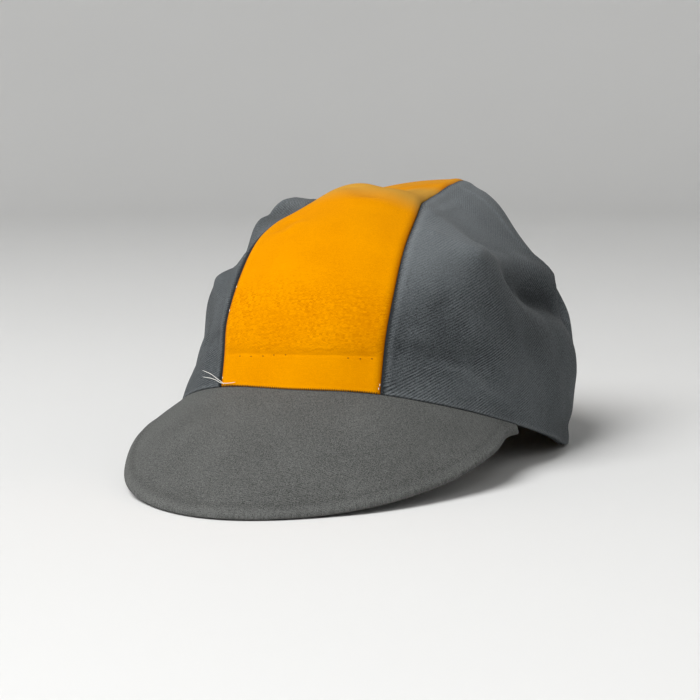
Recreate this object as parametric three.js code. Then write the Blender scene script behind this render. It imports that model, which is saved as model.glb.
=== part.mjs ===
// A cotton cycling cap standing by itself on a level surface. Millimetres, +Z up.
// The wearer's left is +X and the peak points to -Y. The rear hem and the tip of the peak
// touch the surface at z = 0.
import * as THREE from "three";
import { mergeVertices } from "three/addons/utils/BufferGeometryUtils.js";

// Driving dimensions
const headLength = 196; // hem opening, front to back
const headWidth = 160; // hem opening, side to side
const crownHeight = 114; // surface to the top of the crown
const hemRise = 38.3; // surface to the hem at the front
const rearTuck = 5.5; // how far elastic draws in the hem at the back
const stripWidth = 68; // yellow strip at the front hem
const clothThickness = 1.4;
const foldDepth = 10; // size that the folds' depths are shares of
const peakReach = 66.5; // hem to the tip of the peak, measured level
const peakThickness = 2.2; // measured upright
const peakHalfAngle = 67; // round the hem, from the front to the peak's corner
const peakSkew = 1.8; // how far the tip of the peak lies to the right of the middle
const peakHollow = 0.1; // how much steeper than straight the peak ends, as a share
const bandHeight = 22;
const bandThickness = 1;
const seamGap = 0.3; // between pieces that are sewn together
const bandClearance = 0.7; // sweatband to the crown, measured level

// Grid sizes of the solids
const crownRows = 46;
const stripColumns = 10;
const sideColumns = 16;
const peakColumns = 32;
const bandColumns = 72;
const bandRows = 4;

// Sections of the yellow strip, from the front hem over the top to the rear hem. at: share of
// the way. y: share of half the head length. height: share of what is left between the sloping
// base and the top. width: half-width, as a share of the one at the front. offset: how far its
// middle lies to the left, as the same share. arch, tilt: how far its edges lie lower than its
// middle and how far the left edge stands above that, as shares of the half-width.
const sections = [
  { at: 0, y: -1, height: 0, width: 1, offset: 0, arch: 0.28, tilt: 0 },
  { at: 0.04, y: -0.964, height: 0.185, width: 1, offset: 0, arch: 0.27, tilt: 0 },
  { at: 0.09, y: -0.929, height: 0.39, width: 1.01, offset: 0.01, arch: 0.26, tilt: 0 },
  { at: 0.15, y: -0.832, height: 0.62, width: 1, offset: 0.035, arch: 0.25, tilt: 0 },
  { at: 0.21, y: -0.684, height: 0.785, width: 0.97, offset: 0.035, arch: 0.24, tilt: 0.01 },
  { at: 0.28, y: -0.49, height: 0.902, width: 0.93, offset: 0.015, arch: 0.27, tilt: 0.04 },
  { at: 0.35, y: -0.265, height: 0.996, width: 0.8, offset: 0.045, arch: 0.4, tilt: 0.09 },
  { at: 0.42, y: -0.051, height: 0.983, width: 0.71, offset: 0.03, arch: 0.25, tilt: 0.02 },
  { at: 0.49, y: 0.153, height: 0.949, width: 0.68, offset: 0, arch: 0.13, tilt: 0.14 },
  { at: 0.56, y: 0.367, height: 0.958, width: 0.65, offset: 0, arch: 0.07, tilt: 0.15 },
  { at: 0.62, y: 0.561, height: 0.966, width: 0.65, offset: 0, arch: 0.06, tilt: 0.13 },
  { at: 0.69, y: 0.735, height: 0.867, width: 0.66, offset: 0, arch: 0.09, tilt: 0.14 },
  { at: 0.76, y: 0.857, height: 0.708, width: 0.69, offset: 0, arch: 0.17, tilt: 0.06 },
  { at: 0.84, y: 0.939, height: 0.495, width: 0.74, offset: 0, arch: 0.24, tilt: 0 },
  { at: 0.91, y: 0.969, height: 0.292, width: 0.76, offset: 0, arch: 0.27, tilt: 0 },
  { at: 0.96, y: 0.964, height: 0.133, width: 0.76, offset: 0, arch: 0.29, tilt: 0 },
  { at: 1, y: 0.944, height: 0, width: 0.76, offset: 0, arch: 0.31, tilt: 0 },
];

// Ribs of the side panels, at the same places. fall: degrees that the panel falls away from the
// strip. foot: share of the way round the side hem where the rib ends. lean: degrees that it
// leans in at its foot. round, upright: shares of the rib that keep the direction of each end.
const ribs = [
  { at: 0, fall: 31, foot: 0, lean: 14, round: 0.33, upright: 0.33 },
  { at: 0.04, fall: 31, foot: 0.065, lean: 14, round: 0.33, upright: 0.33 },
  { at: 0.09, fall: 30, foot: 0.146, lean: 13, round: 0.37, upright: 0.36 },
  { at: 0.15, fall: 27, foot: 0.22, lean: 12, round: 0.42, upright: 0.38 },
  { at: 0.21, fall: 25, foot: 0.287, lean: 10, round: 0.46, upright: 0.38 },
  { at: 0.28, fall: 26, foot: 0.353, lean: 7, round: 0.46, upright: 0.38 },
  { at: 0.35, fall: 32, foot: 0.42, lean: 4, round: 0.42, upright: 0.4 },
  { at: 0.42, fall: 38, foot: 0.479, lean: -2, round: 0.42, upright: 0.42 },
  { at: 0.49, fall: 40, foot: 0.538, lean: -6, round: 0.37, upright: 0.42 },
  { at: 0.56, fall: 40, foot: 0.597, lean: -8, round: 0.35, upright: 0.42 },
  { at: 0.62, fall: 40, foot: 0.656, lean: -8, round: 0.36, upright: 0.42 },
  { at: 0.69, fall: 33, foot: 0.723, lean: -6, round: 0.37, upright: 0.42 },
  { at: 0.76, fall: 28, foot: 0.789, lean: -3, round: 0.42, upright: 0.4 },
  { at: 0.84, fall: 22, foot: 0.856, lean: -1, round: 0.46, upright: 0.38 },
  { at: 0.91, fall: 21, foot: 0.915, lean: 0, round: 0.43, upright: 0.36 },
  { at: 0.96, fall: 23, foot: 0.959, lean: 2, round: 0.38, upright: 0.33 },
  { at: 1, fall: 26, foot: 1, lean: 4, round: 0.33, upright: 0.33 },
];

// The hem, by degrees round from the front. rise: share of the hem's rise at the front.
// tuck: share of the rear tuck.
const hemStations = [
  { angle: 0, rise: 1, tuck: 0 },
  { angle: 22, rise: 0.969, tuck: 0 },
  { angle: 45, rise: 0.775, tuck: 0 },
  { angle: 67, rise: 0.496, tuck: 0 },
  { angle: 85, rise: 0.25, tuck: -0.04 },
  { angle: 100, rise: 0.047, tuck: 0.02 },
  { angle: 108, rise: 0, tuck: 0 },
  { angle: 125, rise: 0, tuck: 0.35 },
  { angle: 145, rise: 0, tuck: 0.8 },
  { angle: 163, rise: 0, tuck: 0.98 },
  { angle: 180, rise: 0, tuck: 1 },
];

// The peak, by share of its half-angle. reach: share of the peak's reach. drop: share of the
// drop at its tip.
const peakStations = [
  { at: 0, reach: 1, drop: 1 },
  { at: 0.25, reach: 0.8, drop: 0.965 },
  { at: 0.5, reach: 0.508, drop: 0.73 },
  { at: 0.75, reach: 0.25, drop: 0.344 },
  { at: 0.9, reach: 0.065, drop: 0.14 },
  { at: 1, reach: 0.01, drop: 0.055 },
];

// Folds and dents of the side panels, each along a line from one place to another. side: 1
// left, -1 right. from, to: share of the way from front to rear. fromDown, toDown: share of the
// way from seam to hem. width: half-width, as such a share. depth: share of the fold depth,
// outwards above 0.
const folds = [
  { side: 1, from: 0.58, fromDown: 0.64, to: 0.64, toDown: 0.64, width: 0.26, depth: 0.42 },
  { side: 1, from: 0.54, fromDown: 0.13, to: 0.64, toDown: 0.13, width: 0.11, depth: 0.22 },
  { side: 1, from: 0.27, fromDown: 0.02, to: 0.3, toDown: 0.24, width: 0.05, depth: 0.1 },
  { side: 1, from: 0.31, fromDown: 0.25, to: 0.6, toDown: 0.47, width: 0.08, depth: 0.24 },
  { side: 1, from: 0.42, fromDown: 0.42, to: 0.6, toDown: 0.6, width: 0.09, depth: -0.34 },
  { side: 1, from: 0.1, fromDown: 0.3, to: 0.22, toDown: 0.8, width: 0.08, depth: 0.1 },
  { side: 1, from: 0.17, fromDown: 0.3, to: 0.3, toDown: 0.8, width: 0.08, depth: -0.1 },
  { side: -1, from: 0.1, fromDown: 0.42, to: 0.24, toDown: 0.68, width: 0.3, depth: -0.58 },
  { side: -1, from: 0.33, fromDown: 0.08, to: 0.44, toDown: 0.1, width: 0.1, depth: 0.75 },
  { side: -1, from: 0.25, fromDown: 0.1, to: 0.29, toDown: 0.28, width: 0.11, depth: -0.55 },
  { side: -1, from: 0.19, fromDown: 0.2, to: 0.21, toDown: 0.24, width: 0.06, depth: 0.15 },
  { side: -1, from: 0.58, fromDown: 0.45, to: 0.64, toDown: 0.45, width: 0.32, depth: 0.5 },
];
const panelStretch = 2.7; // a side panel's length over its height
// Shares of a side panel over which its folds fade out, at the seam, at the hem and at its ends
const foldFade = { seam: 0.08, hem: 0.2, ends: 0.14 };

const colours = {
  yellow: 0xf59a08,
  charcoal: 0x44494c,
  peakGrey: 0x5c5d5a,
  bandGrey: 0x3c4043,
};

const up = new THREE.Vector3(0, 0, 1);
const radians = THREE.MathUtils.degToRad;
const clamp = THREE.MathUtils.clamp;
const lerp = THREE.MathUtils.lerp;

// A smooth curve through one column of a table: cubic pieces that share their slopes. A table
// that is mirrored at its first row starts level.
function column(table, key, name, at, mirrored = false) {
  const last = table.length - 1;
  const slope = (i) => {
    const before = Math.max(i - 1, 0);
    const after = Math.min(i + 1, last);
    const rise = (a, b) => (table[b][name] - table[a][name]) / (table[b][key] - table[a][key]);
    if (before === i) return mirrored ? 0 : rise(i, after);
    if (after === i) return rise(before, i);
    const left = table[i][key] - table[before][key];
    const right = table[after][key] - table[i][key];
    return (rise(before, i) * right + rise(i, after) * left) / (left + right);
  };
  let i = 0;
  while (i < last - 1 && at > table[i + 1][key]) i += 1;
  const span = table[i + 1][key] - table[i][key];
  const t = clamp((at - table[i][key]) / span, 0, 1);
  const start = (1 + 2 * t) * (1 - t) ** 2 * table[i][name] + t * (1 - t) ** 2 * span * slope(i);
  const end = t * t * (3 - 2 * t) * table[i + 1][name] + t * t * (t - 1) * span * slope(i + 1);
  return start + end;
}

const section = (name, at) => column(sections, "at", name, at);
const ribSection = (name, at) => column(ribs, "at", name, at);

// The hem curve

function hemOut(angle) {
  const a = radians(angle);
  return new THREE.Vector3(Math.sin(a) / headWidth, -Math.cos(a) / headLength, 0).normalize();
}

function hemPoint(angle) {
  const a = radians(angle);
  const round = Math.abs(angle) > 180 ? 360 - Math.abs(angle) : Math.abs(angle);
  const tuck = rearTuck * column(hemStations, "angle", "tuck", round, true);
  const rise = hemRise * Math.max(0, column(hemStations, "angle", "rise", round, true));
  const point = new THREE.Vector3((headWidth / 2) * Math.sin(a), (-headLength / 2) * Math.cos(a), rise);
  return point.addScaledVector(hemOut(angle), -tuck);
}

// Angle of the point of the hem that lies a given distance from the centre line
const hemAngle = (distance) => THREE.MathUtils.radToDeg(Math.asin(distance / (headWidth / 2)));
const stripHalf = (at) => (stripWidth / 2) * section("width", at);
const frontCorner = hemAngle(stripHalf(0));
const rearCorner = 180 - hemAngle(stripHalf(1));
const footAngle = (at) => lerp(frontCorner, rearCorner, clamp(ribSection("foot", at), 0, 1));

// The centre line of the crown
const step = 0.002; // share of the way over which directions are measured

function centrePoint(at) {
  const base = hemRise * (1 - at) ** 2;
  const z = base + (crownHeight - base) * section("height", at);
  return new THREE.Vector3(0, (headLength / 2) * section("y", at), z);
}

function centreOut(at) {
  const along = centrePoint(Math.min(at + step, 1)).sub(centrePoint(Math.max(at - step, 0)));
  return new THREE.Vector3(0, -along.z, along.y).normalize();
}

// Weight of the hem near both ends of the crown, from 1 at the hem to 0 at this share of the way
const hemShare = 0.17;
const hemPull = (at) => Math.max(0, 1 - Math.min(at, 1 - at) / hemShare) ** 2;

// The yellow strip: an arched section carried over the crown, drawn onto the hem at both ends.
function archedStrip(at, across) {
  const half = stripHalf(at);
  const point = centrePoint(at);
  point.x = half * across + (stripWidth / 2) * section("offset", at);
  const lift = section("tilt", at) * across - section("arch", at) * across ** 2;
  return point.addScaledVector(centreOut(at), half * lift);
}

function stripPoint(at, across) {
  const point = archedStrip(at, across);
  const end = at < 0.5 ? 0 : 1;
  const reach = hemAngle(stripHalf(end) * across);
  const shift = hemPoint(end === 0 ? reach : 180 - reach).sub(archedStrip(end, across));
  return point.addScaledVector(shift, hemPull(at));
}

// Outward direction of the crown along the seam, half-way between strip and side panel
function seamOut(at, side) {
  const edge = Math.atan(2 * section("arch", at) - side * section("tilt", at));
  const turn = (edge + radians(ribSection("fall", at))) / 2;
  const out = centreOut(at).multiplyScalar(Math.cos(turn));
  out.x = side * Math.sin(turn);
  const hem = hemOut(side * (at < 0.5 ? frontCorner : rearCorner));
  return out.lerp(hem, hemPull(at)).normalize();
}

function stripOut(at, across) {
  const side = across < 0 ? -1 : 1;
  const flat = centreOut(at);
  const hem = new THREE.Vector3(0, at < 0.5 ? -1 : 1, 0);
  flat.lerp(hem, hemPull(at)).normalize();
  return flat.lerp(seamOut(at, side), Math.abs(across)).normalize();
}

// Direction level with the cloth and square to the seam, away from the strip
function seamAcross(at, side) {
  const end = stripPoint(Math.min(at + step, 1), side);
  const along = end.sub(stripPoint(Math.max(at - step, 0), side)).normalize();
  return along.cross(seamOut(at, side)).multiplyScalar(side).normalize();
}

// A side panel: each rib is a cubic curve that leaves the seam, bulges and comes down on the hem.
function ribPoint(at, down, side) {
  const top = stripPoint(at, side);
  const angle = side * footAngle(at);
  const foot = hemPoint(angle);
  const length = top.distanceTo(foot);
  const fall = radians(ribSection("fall", at));
  const leave = centreOut(at).multiplyScalar(-Math.sin(fall));
  leave.x = side * Math.cos(fall);
  const lean = radians(ribSection("lean", at));
  const rise = up.clone().multiplyScalar(Math.cos(lean)).addScaledVector(hemOut(angle), -Math.sin(lean));
  const first = top.clone().addScaledVector(leave, length * ribSection("round", at));
  const second = foot.clone().addScaledVector(rise, length * ribSection("upright", at));
  return new THREE.CubicBezierCurve3(top, first, second, foot).getPoint(down);
}

function sideOut(at, down, side) {
  const hem = hemOut(side * footAngle(at));
  return seamOut(at, side).lerp(hem, down).normalize();
}

// Depth of all the folds at one place, fading out at the seam, at the hem and where they meet
function foldAt(at, down, side) {
  const place = new THREE.Vector3(at * panelStretch, down, 0);
  const nearest = new THREE.Vector3();
  let depth = 0;
  for (const fold of folds.filter((one) => one.side === side)) {
    const start = new THREE.Vector3(fold.from * panelStretch, fold.fromDown, 0);
    const end = new THREE.Vector3(fold.to * panelStretch, fold.toDown, 0);
    new THREE.Line3(start, end).closestPointToPoint(place, true, nearest);
    const away = nearest.distanceTo(place) / fold.width;
    depth += foldDepth * fold.depth * Math.exp(-away * away);
  }
  const fade = clamp(down / foldFade.seam, 0, 1) * clamp((1 - down) / foldFade.hem, 0, 1);
  return depth * fade * clamp(Math.min(at, 1 - at) / foldFade.ends, 0, 1);
}

function sidePoint(at, down, side) {
  const gap = (seamGap / 2) * (1 - down);
  const out = sideOut(at, down, side);
  const point = ribPoint(at, down, side).addScaledVector(seamAcross(at, side), gap);
  return point.addScaledVector(out, foldAt(at, down, side));
}

// The peak's upper face. out: from -1, its sewn edge under the crown, through 0 at the hem to 1,
// its rim.
const peakLap = clothThickness + bandThickness + bandClearance;
const peakDrop = hemRise - seamGap - peakThickness;

function peakPoint(across, out) {
  const angle = across * peakHalfAngle;
  const station = (name) => column(peakStations, "at", name, Math.abs(across), true);
  const point = hemPoint(angle).addScaledVector(up, -seamGap);
  if (out < 0) return point.addScaledVector(hemOut(angle), out * peakLap);
  const sag = lerp(out, out * out, peakHollow);
  point.addScaledVector(hemOut(angle), out * peakReach * station("reach"));
  point.x -= out * peakSkew * (1 - across ** 2) ** 2;
  return point.addScaledVector(up, -peakDrop * station("drop") * sag);
}

// A closed wall from a grid. face(i, j) gives the outer point and the inner one.
function wall(rows, columns, face, { ring = false } = {}) {
  const outer = [];
  const inner = [];
  for (let i = 0; i <= rows; i += 1) {
    for (let j = 0; j <= columns; j += 1) {
      const pair = face(i, j);
      outer.push(pair[0]);
      inner.push(pair[1]);
    }
  }
  const points = [...outer, ...inner];
  const shift = outer.length;
  const index = (i, j) => i * (columns + 1) + j;
  const triangles = [];
  const quad = (a, b, c, d) => triangles.push([a, b, c], [a, c, d]);
  for (let i = 0; i < rows; i += 1) {
    for (let j = 0; j < columns; j += 1) {
      const [a, b, c, d] = [index(i, j), index(i + 1, j), index(i + 1, j + 1), index(i, j + 1)];
      quad(a, b, c, d);
      quad(d + shift, c + shift, b + shift, a + shift);
    }
    const [a, b] = [index(i, 0), index(i + 1, 0)];
    const [c, d] = [index(i, columns), index(i + 1, columns)];
    quad(a, a + shift, b + shift, b);
    quad(d, d + shift, c + shift, c);
  }
  for (let j = 0; j < columns && !ring; j += 1) {
    const [a, b] = [index(0, j), index(0, j + 1)];
    const [c, d] = [index(rows, j), index(rows, j + 1)];
    quad(b, b + shift, a + shift, a);
    quad(c, c + shift, d + shift, d);
  }
  return solid(points, triangles);
}

// A geometry from points and triangles, with coinciding points joined, triangles that have
// shrunk to a line left out, and every face turned outwards.
function solid(points, triangles) {
  const loose = new THREE.BufferGeometry();
  loose.setAttribute("position", new THREE.Float32BufferAttribute(points.flatMap((p) => p.toArray()), 3));
  loose.setIndex(triangles.flat());
  const merged = mergeVertices(loose, 1e-3);
  const place = merged.getAttribute("position");
  const corner = (k) => new THREE.Vector3().fromBufferAttribute(place, k);
  const index = Array.from(merged.getIndex().array);
  const kept = [];
  let volume = 0;
  for (let t = 0; t < index.length; t += 3) {
    const [a, b, c] = index.slice(t, t + 3);
    if (a !== b && b !== c && c !== a) {
      kept.push([a, b, c]);
      volume += corner(a).dot(corner(b).cross(corner(c)));
    }
  }
  merged.setIndex(kept.flatMap(([a, b, c]) => (volume < 0 ? [a, c, b] : [a, b, c])));
  merged.computeVertexNormals();
  return merged;
}

function piece(name, geometry, colour, roughness) {
  const finish = { color: colour, roughness, metalness: 0, side: THREE.DoubleSide };
  const material = new THREE.MeshStandardMaterial(finish);
  const mesh = new THREE.Mesh(geometry, material);
  mesh.name = name;
  return mesh;
}

// Outer and inner point of a wall of cloth at one place
const clothPair = (point, out) => [point, point.clone().addScaledVector(out, -clothThickness)];

function centrePanel() {
  const geometry = wall(crownRows, stripColumns, (i, j) => {
    const at = i / crownRows;
    const across = (2 * j) / stripColumns - 1;
    const point = stripPoint(at, across);
    if (Math.abs(across) === 1) point.addScaledVector(seamAcross(at, across), -seamGap / 2);
    return clothPair(point, stripOut(at, across));
  });
  return piece("centre_panel", geometry, colours.yellow, 0.9);
}

function sidePanel(name, side) {
  const geometry = wall(crownRows, sideColumns, (i, j) => {
    const at = i / crownRows;
    const down = i === 0 || i === crownRows ? 0 : j / sideColumns;
    return clothPair(sidePoint(at, down, side), sideOut(at, down, side));
  });
  return piece(name, geometry, colours.charcoal, 0.9);
}

function peak() {
  const steps = [-1, 0, 0.12, 0.28, 0.46, 0.64, 0.82, 1];
  const geometry = wall(peakColumns, steps.length - 1, (i, j) => {
    const point = peakPoint((2 * i) / peakColumns - 1, steps[j]);
    return [point, point.clone().addScaledVector(up, -peakThickness)];
  });
  return piece("peak", geometry, colours.peakGrey, 0.95);
}

// The sweatband follows the inside of the crown: three rays from within find each place, and
// the nearest cloth counts.
function sweatband(crown) {
  const ray = new THREE.Raycaster();
  const spread = [-1.5, 0, 1.5];
  const inside = (angle, height) => {
    const direction = hemOut(angle);
    const start = hemPoint(angle).addScaledVector(direction, -headWidth / 4);
    start.z += Math.max(height, seamGap);
    const distances = spread.map((turn) => {
      ray.set(start, direction.clone().applyAxisAngle(up, radians(turn)));
      const hits = ray.intersectObjects(crown);
      return hits.length > 0 ? hits[0].distance : headWidth / 4 - clothThickness;
    });
    start.z = hemPoint(angle).z + height;
    return { point: start.addScaledVector(direction, Math.min(...distances) - bandClearance), direction };
  };
  const geometry = wall(bandColumns, bandRows, (i, j) => {
    const angle = (360 * (i % bandColumns)) / bandColumns;
    const height = (bandHeight * j) / bandRows;
    const { point, direction } = inside(angle > 180 ? angle - 360 : angle, height);
    return [point, point.clone().addScaledVector(direction, -bandThickness)];
  }, { ring: true });
  return piece("sweatband", geometry, colours.bandGrey, 0.95);
}

const cap = new THREE.Group();
const panels = [centrePanel(), sidePanel("side_panel_left", 1), sidePanel("side_panel_right", -1)];
cap.add(...panels, peak(), sweatband(panels));

// The origin is on the surface, under the middle of the cap's length.
const box = new THREE.Box3().setFromObject(cap);
cap.position.y = -(box.min.y + box.max.y) / 2;

export default cap;
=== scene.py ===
import math

import bpy
import numpy as np
from mathutils import Matrix, Vector
from mathutils.bvhtree import BVHTree


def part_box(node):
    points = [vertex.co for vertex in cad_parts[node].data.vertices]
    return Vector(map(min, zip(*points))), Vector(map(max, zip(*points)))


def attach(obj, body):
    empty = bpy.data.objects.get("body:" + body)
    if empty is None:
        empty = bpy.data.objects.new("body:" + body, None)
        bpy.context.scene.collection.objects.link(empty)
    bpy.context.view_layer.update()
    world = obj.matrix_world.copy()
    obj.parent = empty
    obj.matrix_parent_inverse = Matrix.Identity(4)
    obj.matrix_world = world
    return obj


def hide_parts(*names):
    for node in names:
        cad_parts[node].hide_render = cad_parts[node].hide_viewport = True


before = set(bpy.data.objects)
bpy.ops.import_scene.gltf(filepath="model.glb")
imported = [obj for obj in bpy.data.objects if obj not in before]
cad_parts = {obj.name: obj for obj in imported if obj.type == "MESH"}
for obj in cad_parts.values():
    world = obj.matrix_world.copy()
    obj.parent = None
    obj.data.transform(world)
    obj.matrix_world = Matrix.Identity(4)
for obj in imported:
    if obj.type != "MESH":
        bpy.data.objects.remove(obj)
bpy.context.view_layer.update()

# A cotton cycling cap that stands on a floor by itself. Everything is in metres, +Z is up, +X is
# the wearer's left and the peak points to -Y.

# The crown's sizes are the ones that its solids were made with.
crown = {
    "headLength": 0.196,  # hem opening, front to back
    "headWidth": 0.160,  # hem opening, side to side
    "height": 0.114,  # floor to the top
    "hemRise": 0.0383,  # floor to the hem at the front
    "rearTuck": 0.0055,  # how far elastic draws in the hem at the back
    "stripWidth": 0.068,  # yellow strip at the front hem
    "cloth": 0.0014,  # thickness
    "foldDepth": 0.010,  # what the large folds' depths are shares of
    "seamGap": 0.0003,
    "hemShare": 0.17,  # share of the way over which the crown is drawn onto the hem
    "step": 0.002,  # share of the way over which directions are measured
    "panelStretch": 2.7,  # a side panel's length over its height
}
peakSize = {
    "reach": 0.0665,  # hem to tip, measured level
    "thickness": 0.0022,
    "halfAngle": 67,  # round the hem, from the front to the peak's corner
    "hollow": 0.1,  # how much steeper than straight it ends, as a share
    "skew": 0.0018,  # how far its tip lies to the wearer's right
    "lap": 0.0031,  # how far it goes in under the crown
}
# Where the crown's middle lies along the frame's y
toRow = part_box("peak")[0].y + crown["headLength"] / 2 + peakSize["reach"]


# Camera, worked out from the photograph for a square picture
camera = {
    "place": (0.31670, -0.86149 + toRow, 0.15993),
    "azimuth": 20.74,
    "elevation": 6.375,
    "roll": -0.465,
    "lens": 111.24,
    "shift": (-0.00857, -0.05286),
    "near": 0.05,
}


def addCamera():
    data = bpy.data.cameras.new("camera")
    data.lens = camera["lens"]
    data.shift_x, data.shift_y = camera["shift"]
    data.clip_start = camera["near"]
    made = bpy.data.objects.new("camera", data)
    bpy.context.scene.collection.objects.link(made)
    turn, rise, roll = (math.radians(camera[key]) for key in ("azimuth", "elevation", "roll"))
    level = Vector((math.cos(turn), math.sin(turn), 0))
    back = Vector((math.sin(turn) * math.cos(rise), -math.cos(turn) * math.cos(rise), math.sin(rise)))
    upward = back.cross(level)
    right = level * math.cos(roll) + upward * math.sin(roll)
    top = upward * math.cos(roll) - level * math.sin(roll)
    made.matrix_world = Matrix.Translation(camera["place"]) @ Matrix((right, top, back)).transposed().to_4x4()
    bpy.context.scene.camera = made
    print("camera placed")


addCamera()


# Numbers and vectors as whole arrays


def table(names, rows):
    return dict(zip(names.split(), np.array(rows, float).T))


def through(data, key, name, at, mirrored=False):
    # A smooth curve through a table's column: cubic pieces that share their slopes, each slope the
    # mean of the two beside it. A mirrored table starts level.
    x, y = data[key], data[name]
    rise = np.diff(y) / np.diff(x)
    left, right = np.diff(x)[:-1], np.diff(x)[1:]
    inner = (rise[:-1] * right + rise[1:] * left) / (left + right)
    slope = np.concatenate([[0 if mirrored else rise[0]], inner, [rise[-1]]])
    i = np.clip(np.searchsorted(x, at) - 1, 0, len(x) - 2)
    span = x[i + 1] - x[i]
    t = np.clip((at - x[i]) / span, 0, 1)
    start = (1 + 2 * t) * (1 - t) ** 2 * y[i] + t * (1 - t) ** 2 * span * slope[i]
    return start + t * t * (3 - 2 * t) * y[i + 1] + t * t * (t - 1) * span * slope[i + 1]


def vec(x, y, z):
    return np.stack(np.broadcast_arrays(x, y, z), -1).astype(float)


def unit(v):
    return v / np.maximum(np.linalg.norm(v, axis=-1, keepdims=True), 1e-12)


def along(v, amount):
    return v * np.asarray(amount)[..., None]


def between(a, b, t):
    return a + along(b - a, t)


def smooth(t):
    # From 0 to 1 with level ends: three squares less two cubes
    t = np.clip(t, 0, 1)
    return t * t * (3 - 2 * t)


def rising(value, start, width):
    # From 0 at the start to 1 a width further. A negative width falls instead.
    return smooth((value - start) / width)


def bump(t):
    # One at 0, falling away on both sides: the bell curve
    return np.exp(-t * t)


def bell(value, place, width):
    return bump((value - place) / width)


def runAlong(points, axis):
    # Running distance over a grid along one axis: the sum of the steps so far
    steps = np.linalg.norm(np.diff(points, axis=axis), axis=-1)
    start = np.zeros_like(np.take(steps, [0], axis=axis))
    return np.concatenate([start, np.cumsum(steps, axis=axis)], axis=axis)


upward = np.array([0.0, 0.0, 1.0])


# Shape of the crown: the same tables and formulas as its solids

stripSections = table(
    "at y height width offset arch tilt",
    [
        (0.00, -1.000, 0.000, 1.00, 0.000, 0.28, 0.00),
        (0.04, -0.964, 0.185, 1.00, 0.000, 0.27, 0.00),
        (0.09, -0.929, 0.390, 1.01, 0.010, 0.26, 0.00),
        (0.15, -0.832, 0.620, 1.00, 0.035, 0.25, 0.00),
        (0.21, -0.684, 0.785, 0.97, 0.035, 0.24, 0.01),
        (0.28, -0.490, 0.902, 0.93, 0.015, 0.27, 0.04),
        (0.35, -0.265, 0.996, 0.80, 0.045, 0.40, 0.09),
        (0.42, -0.051, 0.983, 0.71, 0.030, 0.25, 0.02),
        (0.49, 0.153, 0.949, 0.68, 0.000, 0.13, 0.14),
        (0.56, 0.367, 0.958, 0.65, 0.000, 0.07, 0.15),
        (0.62, 0.561, 0.966, 0.65, 0.000, 0.06, 0.13),
        (0.69, 0.735, 0.867, 0.66, 0.000, 0.09, 0.14),
        (0.76, 0.857, 0.708, 0.69, 0.000, 0.17, 0.06),
        (0.84, 0.939, 0.495, 0.74, 0.000, 0.24, 0.00),
        (0.91, 0.969, 0.292, 0.76, 0.000, 0.27, 0.00),
        (0.96, 0.964, 0.133, 0.76, 0.000, 0.29, 0.00),
        (1.00, 0.944, 0.000, 0.76, 0.000, 0.31, 0.00),
    ],
)
sideRibs = table(
    "at fall foot lean round upright",
    [
        (0.00, 31, 0.000, 14, 0.33, 0.33),
        (0.04, 31, 0.065, 14, 0.33, 0.33),
        (0.09, 30, 0.146, 13, 0.37, 0.36),
        (0.15, 27, 0.220, 12, 0.42, 0.38),
        (0.21, 25, 0.287, 10, 0.46, 0.38),
        (0.28, 26, 0.353, 7, 0.46, 0.38),
        (0.35, 32, 0.420, 4, 0.42, 0.40),
        (0.42, 38, 0.479, -2, 0.42, 0.42),
        (0.49, 40, 0.538, -6, 0.37, 0.42),
        (0.56, 40, 0.597, -8, 0.35, 0.42),
        (0.62, 40, 0.656, -8, 0.36, 0.42),
        (0.69, 33, 0.723, -6, 0.37, 0.42),
        (0.76, 28, 0.789, -3, 0.42, 0.40),
        (0.84, 22, 0.856, -1, 0.46, 0.38),
        (0.91, 21, 0.915, 0, 0.43, 0.36),
        (0.96, 23, 0.959, 2, 0.38, 0.33),
        (1.00, 26, 1.000, 4, 0.33, 0.33),
    ],
)
hemStations = table(
    "angle rise tuck",
    [
        (0, 1.000, 0.00),
        (22, 0.969, 0.00),
        (45, 0.775, 0.00),
        (67, 0.496, 0.00),
        (85, 0.250, -0.04),
        (100, 0.047, 0.02),
        (108, 0.000, 0.00),
        (125, 0.000, 0.35),
        (145, 0.000, 0.80),
        (163, 0.000, 0.98),
        (180, 0.000, 1.00),
    ],
)
peakStations = table(
    "at reach drop",
    [
        (0.00, 1.000, 1.000),
        (0.25, 0.800, 0.965),
        (0.50, 0.508, 0.730),
        (0.75, 0.250, 0.344),
        (0.90, 0.065, 0.140),
        (1.00, 0.010, 0.055),
    ],
)
# Large folds and dents of the side panels: along a line from one place to another, at: share of
# the way from front to rear, down: share of the way from seam to hem
largeFolds = table(
    "side at0 down0 at1 down1 width depth",
    [
        (1, 0.58, 0.64, 0.64, 0.64, 0.26, 0.42),
        (1, 0.54, 0.13, 0.64, 0.13, 0.11, 0.22),
        (1, 0.27, 0.02, 0.30, 0.24, 0.05, 0.10),
        (1, 0.31, 0.25, 0.60, 0.47, 0.08, 0.24),
        (1, 0.42, 0.42, 0.60, 0.60, 0.09, -0.34),
        (1, 0.10, 0.30, 0.22, 0.80, 0.08, 0.10),
        (1, 0.17, 0.30, 0.30, 0.80, 0.08, -0.10),
        (-1, 0.10, 0.42, 0.24, 0.68, 0.30, -0.58),
        (-1, 0.33, 0.08, 0.44, 0.10, 0.10, 0.75),
        (-1, 0.25, 0.10, 0.29, 0.28, 0.11, -0.55),
        (-1, 0.19, 0.20, 0.21, 0.24, 0.06, 0.15),
        (-1, 0.58, 0.45, 0.64, 0.45, 0.32, 0.50),
    ],
)
foldFade = {"seam": 0.08, "hem": 0.20, "ends": 0.14}  # shares of a panel over which large folds fade out


def section(name, at):
    return through(stripSections, "at", name, at)


def rib(name, at):
    return through(sideRibs, "at", name, at)


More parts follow.
